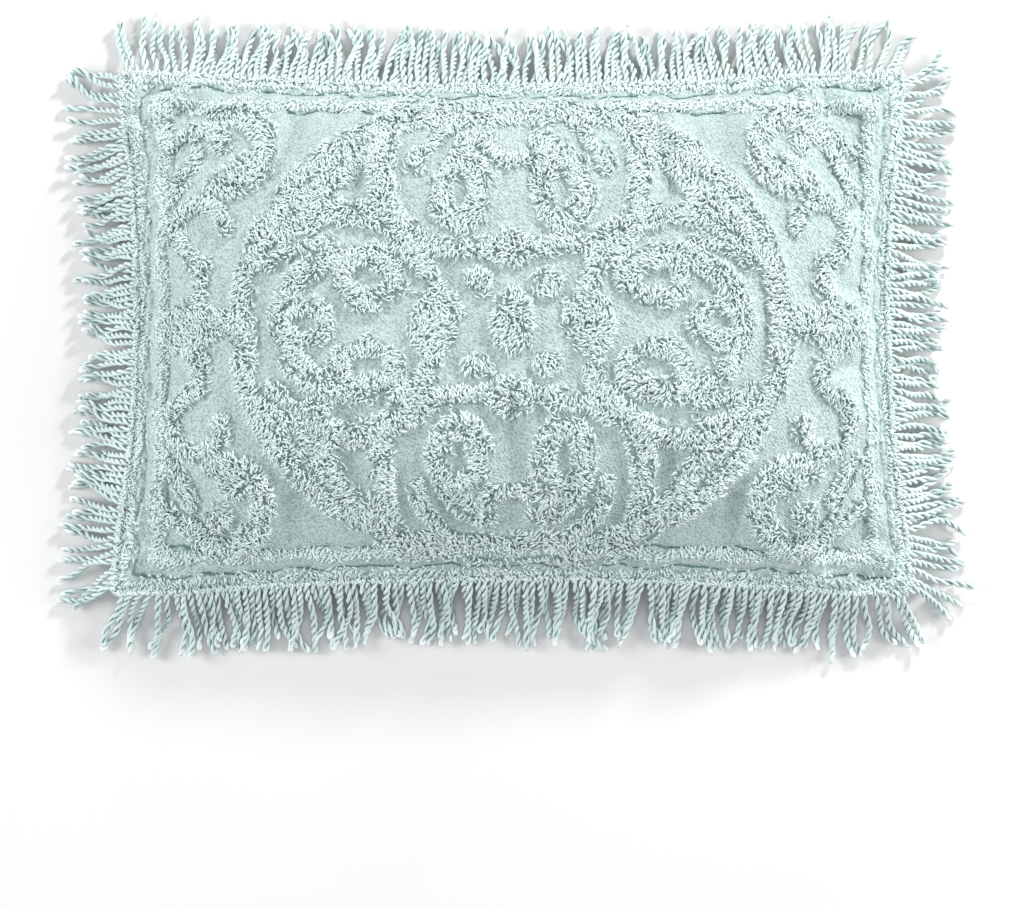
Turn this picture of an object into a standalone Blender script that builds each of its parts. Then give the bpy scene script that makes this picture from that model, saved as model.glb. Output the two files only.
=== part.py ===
"""Fringed chenille pillow sham, filled by its pillow and lying on its back.

The sham is one filled cushion: a crowned front panel with its tufted pile design raised in
the surface, a plain back that lies flat, and a pinched seam all round. Four lengths of
twisted bullion fringe are sewn to the seam, one on each side.

Metres, +Z up. The origin is under the middle of the cushion, on the surface it lies on.
+X runs along the long side and +Y across it.
"""
import math
from collections import namedtuple

import bmesh
import bpy
import numpy as np

# ---- the cushion ----------------------------------------------------------------------
SHAM_WIDTH = 0.752  # seam to seam along X, between the corners
SHAM_DEPTH = 0.498  # seam to seam along Y, between the corners
SIDE_DRAW_IN = 0.023  # how far the filling pulls the middle of each short side in
END_DRAW_IN = 0.017
DRAW_IN_POWER = 2.2
CORNER_TUCK = 0.003  # how far each corner point is rounded off
CORNER_TUCK_POWER = 10
HALF_WIDTH = SHAM_WIDTH / 2 - SIDE_DRAW_IN  # at the middle of a short side
HALF_DEPTH = SHAM_DEPTH / 2 - END_DRAW_IN
BORDER_SPAN = 0.034  # the cloth outside this inset stretches where the corners flare
CROWN_HEIGHT = 0.119  # top of the filled middle, before the pile
SEAM_HEIGHT = 0.040  # the seam's height at the middle of a side
CORNER_DROOP = 0.010  # how much lower the seam lies at a corner
CROWN_POWER = 3.0  # higher is a flatter middle
CROWN_SHOULDER = 0.8  # lower is a steeper rise from the seam
COLUMNS = 74  # cells of the front panel along X, and strands on a long side
ROWS = 50  # cells of the front panel along Y, and strands on a short side
EDGE_LINES = (0.0, 0.010, 0.019, 0.028, 0.037)  # cell lines that follow the border lines

# ---- gathers beside the seam ------------------------------------------------------------
PUCKER_HEIGHT = 0.0035
PUCKER_REACH = 0.045
PUCKER_LENGTH = 0.075
BORDER_WAVE = 0.0030  # how far the border lines wander from side to side
MITRE_ROUNDING = 0.014  # the border lines turn a corner in a curve of about this size

# ---- tufted pile ------------------------------------------------------------------------
PILE_HEIGHT = 0.007
PILE_SHOULDER = 0.0018  # how far the pile spreads past its rows of stitches
PILE_FULLNESS = 1.5  # higher is a flatter top and a steeper edge
PILE_START = 0.1  # share of the crown over which the pile gains its height beside the seam
STROKE_SPACING = 0.006  # between the points that a scroll is drawn through

# ---- fringe -----------------------------------------------------------------------------
SEWING_GAP = 0.00035  # between the seam and the fringe's heading
HEADING_WIDTH = 0.008
HEADING_THICKNESS = 0.0030
MITRE_GAP = 0.0002  # each heading stops this far short of the corner line
STRAND_SHARE = 0.5  # how much of its cell of the heading a strand grows from
STRAND_WIDTH = 0.0052
STRAND_HEIGHT = 0.0046
SIDE_REACH = 0.055  # from the heading to a strand's tip, seen from above
CORNER_REACH = 0.054
REACH_SPREAD = 0.005
FAN_ANGLE = math.radians(44)  # how far the last strand turns towards the corner
FAN_RUN = 0.075  # length of seam over which the strands turn
FAN_POWER = 1.3  # higher keeps the turn closer to the corner
CLUMP_LEAN = 0.0033  # how much closer the tips of neighbours in a clump are than their roots
CLUMP_DRIFT = 0.0012  # how far a whole clump leans to one side
STRANDS_IN_CLUMP = (2, 5)
SEED = 11

# A lock-tufted scroll. Its middle is at (x, y) and its radius goes from radius to
# end_radius as the angle goes from start by sweep, both in degrees. flatten squeezes it in Y.
Curl = namedtuple("Curl", "x y radius end_radius flatten start sweep width")
Bar = namedtuple("Bar", "x y end_x end_y width")
Bud = namedtuple("Bud", "x y length breadth lean")
BorderLine = namedtuple("BorderLine", "inset width")
UnderRing = namedtuple("UnderRing", "scale height")
Span = namedtuple("Span", "share height thickness")

BORDER_LINES = (
    BorderLine(0.010, 0.012),
    BorderLine(0.028, 0.014),
)

# One quarter of the design, mirrored into the other three.
CURLS = (
    # the medallion's ring and the band inside it
    Curl(0, 0, 0.248, 0.250, 0.87, 0, 90, 0.021),
    Curl(0, 0, 0.208, 0.216, 1.00, 28, 30, 0.021),
    # the rims of the upper lobe and of the side lobe
    Curl(0, 0.143, 0.120, 0.120, 1.00, -42, 92, 0.022),
    Curl(0.154, 0, 0.103, 0.101, 1.00, 42, 84, 0.022),
    # scrolls of the side lobe
    Curl(0.142, 0, 0.069, 0.061, 1.00, 0, 112, 0.021),
    Curl(0.130, 0.042, 0.029, 0.026, 0.76, 258, 318, 0.019),
    Curl(0.190, 0, 0.022, 0.022, 0.75, 0, 180, 0.016),
    Curl(0.155, 0, 0.079, 0.085, 1.00, 80, -40, 0.013),
    # scrolls of the upper lobe
    Curl(0.047, 0.120, 0.0215, 0.018, 1.38, 160, -335, 0.021),
    Curl(0.012, 0.118, 0.058, 0.056, 1.00, 78, -50, 0.020),
    Curl(0, 0.178, 0.029, 0.029, 1.00, -90, 62, 0.015),
    Curl(0.020, 0.128, 0.071, 0.071, 1.00, 60, -46, 0.016),
    # the corner scroll, and the bracket between it and the side sprig
    Curl(0.263, 0.165, 0.035, 0.036, 1.00, 290, -262, 0.022),
    Curl(0.284, 0.093, 0.018, 0.035, 1.00, 185, -268, 0.017),
    Curl(0.310, 0.043, 0.024, 0.024, 1.00, 135, 100, 0.017),
)
BARS = (
    # the medallion's flat top
    Bar(0, 0.199, 0.112, 0.193, 0.019),
    # the frame of the middle panel
    Bar(0, 0.067, 0.086, 0.071, 0.018),
    Bar(0.079, 0.066, 0.070, 0.020, 0.018),
    # the side sprig
    Bar(0.262, 0, 0.322, 0, 0.028),
    Bar(0.290, 0.010, 0.312, 0.014, 0.020),
    # the corner's two leaves
    Bar(0.299, 0.160, 0.317, 0.124, 0.018),
    Bar(0.300, 0.187, 0.324, 0.166, 0.014),
)
BUDS = (
    # the middle panel
    Bud(0, 0, 0.028, 0.019, 90),
    Bud(0.032, 0.036, 0.014, 0.013, 0),
    Bud(0, 0.068, 0.020, 0.017, 0),
    Bud(0.069, 0, 0.031, 0.024, 90),
    # where the rims meet
    Bud(0.093, 0.077, 0.019, 0.016, 0),
    Bud(0.188, 0.106, 0.030, 0.013, 130),
    # the corner scroll
    Bud(0.250, 0.143, 0.020, 0.016, -15),
    Bud(0.271, 0.176, 0.014, 0.012, 60),
)

# Rings of the underside, from the seam inwards. scale shrinks the seam's outline, and height
# is a share of the seam's height. The last ring bounds the flat base.
UNDER_RINGS = (
    UnderRing(0.968, 0.52),
    UnderRing(0.915, 0.17),
    UnderRing(0.845, 0.0),
)

# A strand from its heading to its tip. share is along its plan length, height is a share of
# the heading's height, and thickness is a share of the strand's full section.
SPANS = (
    Span(0.10, 0.95, 0.74),
    Span(0.38, 0.52, 1.0),
    Span(0.70, 0.0, 1.0),
    Span(1.0, 0.0, 0.92),
)

SHAM_COLOUR = (0.60, 0.75, 0.75, 1.0)
FRINGE_COLOUR = (0.50, 0.64, 0.63, 1.0)
CLOTH_ROUGHNESS = 0.9


# ---- scene and materials ------------------------------------------------------------------
def clear_scene():
    for scene_object in list(bpy.data.objects):
        bpy.data.objects.remove(scene_object, do_unlink=True)


def make_collection(name):
    collection = bpy.data.collections.new(name)
    bpy.context.scene.collection.children.link(collection)
    return collection


def cloth_material(name, colour):
    material = bpy.data.materials.new(name)
    material.use_nodes = True
    shader = material.node_tree.nodes["Principled BSDF"]
    shader.inputs["Base Color"].default_value = colour
    shader.inputs["Roughness"].default_value = CLOTH_ROUGHNESS
    shader.inputs["Metallic"].default_value = 0.0
    return material


def finish_piece(form, name, material, collection, smooth):
    """Close a bmesh into a named object with outward faces."""
    bmesh.ops.recalc_face_normals(form, faces=form.faces[:])
    mesh = bpy.data.meshes.new(name)
    form.to_mesh(mesh)
    form.free()
    if smooth:
        mesh.shade_smooth()
    mesh.materials.append(material)
    piece = bpy.data.objects.new(name, mesh)
    collection.objects.link(piece)
    return piece


# ---- the cushion's form ---------------------------------------------------------------------
def flare(share, draw_in):
    """How far outside its middle a drawn-in seam lies, at a share of the way to its corner."""
    return draw_in * np.abs(share) ** DRAW_IN_POWER


def stretched_place(share, half_size, spread):
    """A share of the half size, moved out within the border by the spread of the seam."""
    border_share = np.clip(1 - (1 - np.abs(share)) * half_size / BORDER_SPAN, 0, 1)
    return share * half_size + np.sign(share) * spread * border_share


def outline_place(u, v):
    """Plan position for u and v from -1 to 1 across the cushion."""
    x = stretched_place(u, HALF_WIDTH, flare(v, SIDE_DRAW_IN))
    y = stretched_place(v, HALF_DEPTH, flare(u, END_DRAW_IN))
    tuck = CORNER_TUCK * np.abs(u * v) ** CORNER_TUCK_POWER
    return x - np.sign(u) * tuck, y - np.sign(v) * tuck


def seam_height(u, v):
    return SEAM_HEIGHT - CORNER_DROOP * (u * v) ** 4


def corner_share(place, half_size, draw_in):
    """How far towards the corner, from 0 to 1, a place beside a seam lies."""
    knee = half_size - BORDER_SPAN
    return np.interp(np.abs(place), (0, knee, half_size + draw_in), (0, knee / half_size, 1))


def seam_insets(x, y):
    """How far a point lies inside the side seams and inside the end seams."""
    side_seam = HALF_WIDTH + flare(corner_share(y, HALF_DEPTH, END_DRAW_IN), SIDE_DRAW_IN)
    end_seam = HALF_DEPTH + flare(corner_share(x, HALF_WIDTH, SIDE_DRAW_IN), END_DRAW_IN)
    return side_seam - np.abs(x), end_seam - np.abs(y)


def border_inset(x, y):
    """How far inside the seam a place is, on the scale of the border lines.

    The lines are tufted straight, so this scale is wider where the corners flare.
    """
    side_inset, end_inset = seam_insets(x, y)
    side_flare = flare(corner_share(y, HALF_DEPTH, END_DRAW_IN), SIDE_DRAW_IN)
    end_flare = flare(corner_share(x, HALF_WIDTH, SIDE_DRAW_IN), END_DRAW_IN)
    side_inset = side_inset * BORDER_SPAN / (BORDER_SPAN + side_flare)
    end_inset = end_inset * BORDER_SPAN / (BORDER_SPAN + end_flare)
    return soft_least(side_inset, end_inset)


def soft_least(first, second, rounding=MITRE_ROUNDING):
    """The smaller of two distances, rounded where they are alike."""
    overlap = np.maximum(rounding - np.abs(first - second), 0)
    return np.minimum(first, second) - overlap ** 2 / (4 * rounding)


def uneven_wave(along, length):
    """A wave from -1 to 1 whose crests are neither level nor evenly spaced."""
    turn = 2 * math.pi * along / length
    return 0.6 * np.sin(turn) + 0.28 * np.sin(1.73 * turn + 1.1) + 0.12 * np.sin(2.9 * turn + 4.0)


def stroke_distance(x, y, points):
    """Distance from each place to the line through the points."""
    nearest = np.full_like(x, np.inf)
    for start, end in zip(points[:-1], points[1:]):
        run = end - start
        share = ((x - start[0]) * run[0] + (y - start[1]) * run[1]) / (run @ run)
        share = np.clip(share, 0, 1)
        gap = np.hypot(x - start[0] - share * run[0], y - start[1] - share * run[1])
        nearest = np.minimum(nearest, gap)
    return nearest


def curl_points(curl):
    longest = math.radians(abs(curl.sweep)) * max(curl.radius, curl.end_radius)
    share = np.linspace(0, 1, int(longest / STROKE_SPACING) + 4)
    angle = np.radians(curl.start + curl.sweep * share)
    radius = curl.radius + (curl.end_radius - curl.radius) * share
    across = curl.x + radius * np.cos(angle)
    up = curl.y + curl.flatten * radius * np.sin(angle)
    return np.stack([across, up], axis=1)


def raised_band(distance, half_width):
    """1 along the middle of a band, falling smoothly to 0 at its edges."""
    share = np.clip(PILE_FULLNESS * (1 - (distance / (half_width + PILE_SHOULDER)) ** 2), 0, 1)
    return share * share * (3 - 2 * share)


def pile_cover(x, y):
    """1 where the pile stands full, falling to 0 on the bare cloth."""
    across, up = np.abs(x), np.abs(y)
    cover = np.zeros_like(x)
    for curl in CURLS:
        distance = stroke_distance(across, up, curl_points(curl))
        cover = np.maximum(cover, raised_band(distance, curl.width / 2))
    for bar in BARS:
        ends = np.array([[bar.x, bar.y], [bar.end_x, bar.end_y]], dtype=float)
        distance = stroke_distance(across, up, ends)
        cover = np.maximum(cover, raised_band(distance, bar.width / 2))
    for bud in BUDS:
        lean = math.radians(bud.lean)
        along = (across - bud.x) * math.cos(lean) + (up - bud.y) * math.sin(lean)
        aside = (up - bud.y) * math.cos(lean) - (across - bud.x) * math.sin(lean)
        distance = np.hypot(along, aside * bud.length / bud.breadth)
        cover = np.maximum(cover, raised_band(distance, bud.length))
    inset = border_inset(x, y) + BORDER_WAVE * uneven_wave(x - y, PUCKER_LENGTH)
    cover = np.where(inset < BORDER_LINES[-1].inset, 0, cover)
    for line in BORDER_LINES:
        cover = np.maximum(cover, raised_band(np.abs(inset - line.inset), line.width / 2))
    return np.where(inset > 0, cover, 0)


def crown_profile(u, v):
    """1 in the middle of the cushion, 0 at its seam."""
    fullness = (1 - np.abs(u) ** CROWN_POWER) * (1 - np.abs(v) ** CROWN_POWER)
    return np.maximum(fullness, 0) ** CROWN_SHOULDER


def front_height(u, v):
    x, y = outline_place(u, v)
    profile = crown_profile(u, v)
    base = seam_height(u, v)
    inset = soft_least(*seam_insets(x, y))
    fade = np.clip(1 - inset / PUCKER_REACH, 0, 1) * np.clip(inset / BORDER_LINES[0].inset, 0, 1)
    pucker = PUCKER_HEIGHT * fade * uneven_wave(x + y, PUCKER_LENGTH)
    pile = PILE_HEIGHT * pile_cover(x, y) * np.clip(profile / PILE_START, 0, 1)
    return base + (CROWN_HEIGHT - base) * profile + pucker + pile


def cell_lines(cells, half_size):
    """Places from -1 to 1 of the lines between cells, closer to the seams as EDGE_LINES says."""
    edge = 1 - np.array(EDGE_LINES) / half_size
    middle = np.linspace(-edge[-1], edge[-1], cells + 3 - 2 * len(edge))
    return np.concatenate([-edge[:-1], middle, edge[-2::-1]])


def make_sham(collection):
    form = bmesh.new()
    bmesh.ops.create_grid(form, x_segments=COLUMNS, y_segments=ROWS, size=1.0)
    across_lines = cell_lines(COLUMNS, HALF_WIDTH)
    up_lines = cell_lines(ROWS, HALF_DEPTH)
    for vert in form.verts:
        vert.co.x = across_lines[round((vert.co.x + 1) / 2 * COLUMNS)]
        vert.co.y = up_lines[round((vert.co.y + 1) / 2 * ROWS)]
    rim = [edge for edge in form.edges if edge.is_boundary]
    for ring in UNDER_RINGS:
        grown = bmesh.ops.extrude_edge_only(form, edges=rim)["geom"]
        rim = [item for item in grown if isinstance(item, bmesh.types.BMEdge)]
        for vert in {vert for edge in rim for vert in edge.verts}:
            vert.co.z -= 1.0
    bmesh.ops.contextual_create(form, geom=rim)

    verts = form.verts[:]
    u = np.array([vert.co.x for vert in verts])
    v = np.array([vert.co.y for vert in verts])
    level = np.array([round(-vert.co.z) for vert in verts])
    x, y = outline_place(u, v)
    z = front_height(u, v)
    for number, ring in enumerate(UNDER_RINGS, start=1):
        on_ring = level == number
        ring_x, ring_y = x * ring.scale, y * ring.scale
        x, y = np.where(on_ring, ring_x, x), np.where(on_ring, ring_y, y)
        z = np.where(on_ring, seam_height(u, v) * ring.height, z)
    for vert, place in zip(verts, np.stack([x, y, z], axis=1)):
        vert.co = place
    bmesh.ops.triangulate(form, faces=form.faces[:], quad_method="SHORT_EDGE")
    material = cloth_material("chenille_cloth", SHAM_COLOUR)
    return finish_piece(form, "sham", material, collection, smooth=True)


# ---- the fringe -----------------------------------------------------------------------------
# A side of the seam: from one corner to the next, in u and v, anticlockwise seen from above.
Side = namedtuple("Side", "name start_u start_v end_u end_v strands length")
SIDES = (
    Side("fringe_front", -1, -1, 1, -1, COLUMNS, SHAM_WIDTH),
    Side("fringe_right", 1, -1, 1, 1, ROWS, SHAM_DEPTH),
    Side("fringe_back", 1, 1, -1, 1, COLUMNS, SHAM_WIDTH),
    Side("fringe_left", -1, 1, -1, -1, ROWS, SHAM_DEPTH),
)


def side_seam(side):
    """Seam points of a side, the seam's outward direction at each, and their heights."""
    share = (cell_lines(side.strands, side.length / 2) + 1) / 2
    u = side.start_u + (side.end_u - side.start_u) * share
    v = side.start_v + (side.end_v - side.start_v) * share
    x, y = outline_place(u, v)
    seam = np.stack([x, y], axis=1)
    run = np.gradient(seam, axis=0)
    outward = np.stack([run[:, 1], -run[:, 0]], axis=1)
    outward /= np.linalg.norm(outward, axis=1)[:, None]
    for corner in (0, -1):
        outward[corner] = np.sign(seam[corner])
    return seam, outward, seam_height(u, v)


def clump_leans(count, draw):
    """Sideways lean of each strand's tip: neighbours in a clump lean together."""
    leans = []
    while len(leans) < count:
        members = int(draw.integers(STRANDS_IN_CLUMP[0], STRANDS_IN_CLUMP[1] + 1))
        drift = CLUMP_DRIFT * draw.uniform(-1, 1)
        for member in range(members):
            leans.append(drift - CLUMP_LEAN * (member - (members - 1) / 2))
    return np.array(leans[:count])


def strand_routes(side, draw):
    """For each strand its root, its run to the tip, the way across it and its height."""
    seam, outward, height = side_seam(side)
    root = (seam[:-1] + seam[1:]) / 2
    along = seam[1:] - seam[:-1]
    along /= np.linalg.norm(along, axis=1)[:, None]
    out = np.stack([along[:, 1], -along[:, 0]], axis=1)
    root = root + out * (SEWING_GAP + HEADING_WIDTH)
    spacing = np.linalg.norm(seam[1:] - seam[:-1], axis=1)
    travelled = np.cumsum(spacing) - spacing / 2
    to_start = np.clip(1 - travelled / FAN_RUN, 0, 1)
    to_end = np.clip(1 - (travelled[-1] + spacing[-1] / 2 - travelled) / FAN_RUN, 0, 1)
    angle = FAN_ANGLE * (to_end ** FAN_POWER - to_start ** FAN_POWER)
    nearness = np.maximum(to_start, to_end)
    reach = SIDE_REACH + (CORNER_REACH - SIDE_REACH) * nearness
    reach = reach + REACH_SPREAD * draw.uniform(-1, 1, side.strands)
    lean = clump_leans(side.strands, draw) * (1 - nearness)
    way = out * np.cos(angle)[:, None] + along * np.sin(angle)[:, None]
    run = way * reach[:, None] + along * lean[:, None]
    run_way = run / np.linalg.norm(run, axis=1)[:, None]
    across = np.stack([-run_way[:, 1], run_way[:, 0]], axis=1)
    return root, run, across, (height[:-1] + height[1:]) / 2


def fringe_template(strands):
    """A heading of one cell for each strand, and each strand grown from its cell.

    X counts the strands, Y counts the stages outwards from the seam, and Z is 0 or 1.
    """
    form = bmesh.new()
    bmesh.ops.create_grid(form, x_segments=strands, y_segments=1, size=0.5)
    for vert in form.verts:
        vert.co.x = round((vert.co.x + 0.5) * strands)
        vert.co.y = round(vert.co.y + 0.5)
    lifted = bmesh.ops.extrude_face_region(form, geom=form.faces[:])["geom"]
    for item in lifted:
        if isinstance(item, bmesh.types.BMVert):
            item.co.z = 1.0
    cells = [face for face in form.faces if all(vert.co.y > 0.5 for vert in face.verts)]
    for stage in range(2, len(SPANS) + 2):
        cells = bmesh.ops.extrude_discrete_faces(form, faces=cells)["faces"]
        for face in cells:
            middle = math.floor(face.calc_center_median().x) + 0.5
            for vert in face.verts:
                vert.co.y = stage
                vert.co.x = middle + math.copysign(STRAND_SHARE / 2, vert.co.x - middle)
    return form


def heading_place(vert, seam, outward, height):
    """Place of a point of the heading, between the seam and the strands' roots."""
    number = round(vert.co.x)
    distance = SEWING_GAP + HEADING_WIDTH * round(vert.co.y)
    x, y = seam[number] + outward[number] * distance
    if number in (0, len(seam) - 1):
        inwards = 1 if number == 0 else -1
        run = seam[number + inwards] - seam[number]
        x, y = np.array([x, y]) + run / np.linalg.norm(run) * MITRE_GAP
    return x, y, height[number] + HEADING_THICKNESS * (vert.co.z - 0.5)


def strand_place(vert, routes):
    """Place of a point of a strand: a three-sided section with its flat side below."""
    root, run, across, height = routes
    number = math.floor(vert.co.x)
    span = SPANS[round(vert.co.y) - 2]
    hand = math.copysign(1, vert.co.x - number - 0.5)
    on_top = vert.co.z > 0.5
    aside = 0 if on_top else hand * span.thickness * STRAND_WIDTH / 2
    x, y = root[number] + run[number] * span.share + across[number] * aside
    underside = (height[number] - STRAND_HEIGHT / 2) * span.height
    return x, y, underside + (STRAND_HEIGHT * span.thickness if on_top else 0)


def make_fringe(side, draw, material, collection):
    seam, outward, height = side_seam(side)
    routes = strand_routes(side, draw)
    form = fringe_template(side.strands)
    for vert in form.verts:
        if vert.co.y > 1.5:
            vert.co = strand_place(vert, routes)
        else:
            vert.co = heading_place(vert, seam, outward, height)
    bmesh.ops.remove_doubles(form, verts=form.verts[:], dist=0.00001)
    return finish_piece(form, side.name, material, collection, smooth=False)


def main():
    clear_scene()
    collection = make_collection("chenille_sham")
    draw = np.random.default_rng(SEED)
    make_sham(collection)
    fringe_cloth = cloth_material("bullion_fringe", FRINGE_COLOUR)
    for side in SIDES:
        make_fringe(side, draw, fringe_cloth, collection)


main()
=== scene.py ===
"""Looks of a filled chenille pillow sham: its cloth, its tufted pile and its bullion fringe.

The cushion's crown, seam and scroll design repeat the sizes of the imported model, so the pile
and the fringe sit where the solids hold them. The border's creases and bands of pile wander a
few millimetres from the model's plainer border lines. Lengths are in metres.
"""
import math
from collections import namedtuple

import bmesh
import bpy
import numpy as np
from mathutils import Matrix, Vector
from mathutils.bvhtree import BVHTree


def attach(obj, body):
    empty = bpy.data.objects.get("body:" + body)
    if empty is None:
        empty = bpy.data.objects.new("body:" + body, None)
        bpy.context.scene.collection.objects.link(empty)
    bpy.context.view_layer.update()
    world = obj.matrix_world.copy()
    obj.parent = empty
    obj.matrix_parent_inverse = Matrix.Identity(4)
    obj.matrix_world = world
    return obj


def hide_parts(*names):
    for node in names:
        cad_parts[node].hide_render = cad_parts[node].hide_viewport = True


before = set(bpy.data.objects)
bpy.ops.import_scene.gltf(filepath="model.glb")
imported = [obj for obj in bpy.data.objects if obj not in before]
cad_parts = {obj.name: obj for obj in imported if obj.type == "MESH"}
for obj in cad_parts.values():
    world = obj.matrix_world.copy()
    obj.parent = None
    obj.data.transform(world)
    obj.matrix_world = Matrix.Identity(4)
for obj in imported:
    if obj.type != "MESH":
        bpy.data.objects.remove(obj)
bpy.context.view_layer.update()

TINY = 1e-12  # keeps a division by no length at all in bounds
CLOSE = 1e-6  # places nearer to each other than this are the same

# ---- the cushion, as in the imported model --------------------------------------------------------
SHAM_WIDTH = 0.752
SHAM_DEPTH = 0.498
SIDE_DRAW_IN = 0.023
END_DRAW_IN = 0.017
DRAW_IN_POWER = 2.2
CORNER_TUCK = 0.003
CORNER_TUCK_POWER = 10
HALF_WIDTH = SHAM_WIDTH / 2 - SIDE_DRAW_IN  # at the middle of a short side
HALF_DEPTH = SHAM_DEPTH / 2 - END_DRAW_IN
BORDER_SPAN = 0.034  # the cloth outside this inset stretches where the corners flare
CROWN_HEIGHT = 0.119
CROWN_POWER = 3.0
CROWN_SHOULDER = 0.8
SEAM_HEIGHT = 0.040
CORNER_DROOP = 0.010
CORNER_DROOP_POWER = 4
BASE_SHARE = 0.845  # how much of the outline the flat base fills
BASE_RISE_POWER = 2.3
BACK_RINGS = (0.985, 0.96, 0.93, 0.89, 0.84, 0.6, 0.3)
COLUMNS = 74
ROWS = 50
EDGE_LINES = (0.0, 0.010, 0.019, 0.028, 0.037)

# ---- the cloth's cells, and how the filling swells it -------------------------------------------
FINE_CELL = 0.0013  # beside the seams, where the gathers are
FINE_RUN = 0.042
BROAD_CELL = 0.0044
SWELL_CELL = 0.0090
SWELL_FRAMES = 20
SWELL_LIMIT = 0.0045
SWELL_PRESSURE = 4.0
EVEN_SWELL_CELLS = 7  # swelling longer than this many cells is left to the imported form
SPARE_CLOTH = 0.06  # how much wider the cloth is cut than the form it is gathered on
START_FULLNESS = 0.94
SMOOTHING_PASSES = 3
ORDER_CORNERS = 3  # lowest corners that tell one edge or face from all the others

# ---- welts, creases and gathers of the border ---------------------------------------------------
PUCKER_LENGTH = 0.075
BORDER_WAVE = 0.0030
LEFT_SPREAD = 0.14  # how much wider the border is at the left than beside the long seams
RIGHT_SPREAD = -0.12
MITRE_RUN = 0.030
MITRE_ROUNDING = 0.006  # the creases turn a corner in a curve of about this size
WELT_CREASES = (0.0, 0.0100, 0.0272)  # insets of the creases between the border's welts
WELT_HEIGHT = 0.0034
SEAM_WELT_HEIGHT = 0.0016
MEAN_WELT = 0.62  # mean height of a welt along its seam, as a share of its greatest
WELT_WAVE_WAY = (1.3, 0.9)
WELT_WAVE_LENGTH = 0.105
CREASE_DEPTH = 0.0019
CREASE_WIDTH = 0.0016
CREASE_SHIFT = 0.043  # each crease wanders as the one outside it does this far along
CREASE_MARKS = ("outer_crease", "inner_crease")
SIDE_CREASE_SHARE = 0.5  # depth and painted shade of the creases beside the short seams, against the long ones
GATHER_LENGTH = 0.031
GATHER_HEIGHT = 0.0013
GATHER_START = 0.004
GATHER_SLANT = 0.3
GATHER_FADE_POWER = 1.5
DENT_DEPTH = 0.0022  # how far the bare ground sinks between the thick bands of pile
DENT_START = 0.9
DENT_RUN = 1.1

# ---- fringe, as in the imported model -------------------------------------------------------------
SEWING_GAP = 0.00035
HEADING_WIDTH = 0.008
SIDE_REACH = 0.055
CORNER_REACH = 0.054
REACH_SPREAD = 0.005
FAN_ANGLE = math.radians(44)
FAN_RUN = 0.075
FAN_POWER = 1.3
CLUMP_LEAN = 0.0033
CLUMP_DRIFT = 0.0012
STRANDS_IN_CLUMP = (2, 5)
FRINGE_SEED = 11

# ---- how the strands are twisted, and how they lie ----------------------------------------------
CORD_SEED = 23
ROOT_DEPTH = 0.8  # how far into the heading a strand starts, as a share of its width
DROP_START = 0.06
LANDING_SHARE = 0.72  # of a strand's length, where it comes down to the floor
LANDING_SPREAD = 0.05
STRAND_POINTS = 30
CORDS_TO_STRANDS = 1.5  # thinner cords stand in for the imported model's strands
PLY_RADIUS = 0.00178
THICKEST_PLY = 1.08
THINNEST_PLY = 0.86
TWIST_RADIUS = 0.00168
TWIST_LENGTH = -0.0190
TWIST_PACES = (0.88, 1.15)
TWIST_WOBBLE = 0.20
TWIST_WOBBLE_RUN = 0.011
TWIST_UNEVENNESS = 0.15
TWIST_UNEVEN_RUN = 0.007
TWIST_UNEVEN_PHASES = (0, 6)
TIP_LOOP = 0.0036
TIP_BENDS = (0.25, 0.5, 0.75)  # places on the half turn round the tip
TIP_HOOK = 0.0040
HOOK_START = 0.6
TIP_LIFT = 0.0040
LIFT_START = 0.8
# how far from each cord's tip its painted highlight reaches
TIP_HIGHLIGHT_REACH = (0.90, 1.04)
STRAND_WIGGLE = 0.0029
WIGGLE_WAVES = (0.9, 1.9, 3.1)
WIGGLE_PACES = (0.8, 1.25)
WIGGLE_START = 3
STRAND_SWING = math.radians(6)
SHORTEST_STRAND = 0.76
LONGEST_STRAND = 1.02
SETTLING_ROUNDS = 40
SETTLED_SPACING = 0.86  # least distance between crossing strands, as a share of their width
SETTLING_PUSH = 0.25
SETTLING_RISE = 1.1
SETTLING_EASE = 0.25
EXTRA_GATHER = 0.1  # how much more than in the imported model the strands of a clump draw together
HEADING_OFFSET = 0.0006  # how far outside the seam the locks of the heading are rooted
HEADING_SPACING = 0.0014
HEADING_THICKNESS = 0.0030
HEADING_LOCK = 0.0054
HEADING_UPRIGHT = 0.45
HEADING_PLACES = (0.1, 0.9)
HEADING_SHIFT = 0.4
HEADING_FALL = 0.12
HEADING_TILT = 0.45
HEADING_SWIRL = 0.5
HEADING_SWIRL_LENGTH = 0.012

# ---- pile ---------------------------------------------------------------------------------------
PILE_SEED = 5
TUFT_SPACING = 0.00212
TUFT_SHIFT = 0.42
PILE_RAGGED = 0.13
RAGGED_LENGTH = 0.012
STROKE_SPACING = 0.004  # between the points that a scroll is drawn through
LEAST_STROKE_POINTS = 4
LOCK_LENGTH = 0.0084
LOCK_RADIUS = 0.00091
LOCK_SINK = 0.0008
LOCK_LENGTHS = (0.8, 1.2)
LOCK_GIRTHS = (0.85, 1.2)
LOCK_SKYWARD = 0.35  # how far the roots turn from the cloth's own slope to straight up
STROKE_UPRIGHT = 0.62
EDGE_FLATTENING = 0.20
UPRIGHT_SPREAD = 0.10
LEAST_UPRIGHT = 0.25
UPRIGHT_SHORTENING = 0.5
LOCK_CURL = 0.24
LOCK_COMB = 0.9  # how much the locks of a band lie across it, all to the same side
COMB_LENGTH = 0.085
COMB_BIAS = 0.35
COMB_SWING = 1.2
COMB_WAY = (-0.45, -0.89)  # the side of a band that its locks are combed to
LOCK_SWIRL = 0.55
WHIRL_LENGTH = 0.110
FINE_WHIRL_LENGTH = 0.016
FINE_WHIRL = 0.12
DRIFT_WAVES = 7
DRIFT_LENGTHS = (0.7, 1.6)
DRIFT_PEAK = 1.6
LOCK_LOOSENESS = 0.22
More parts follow.
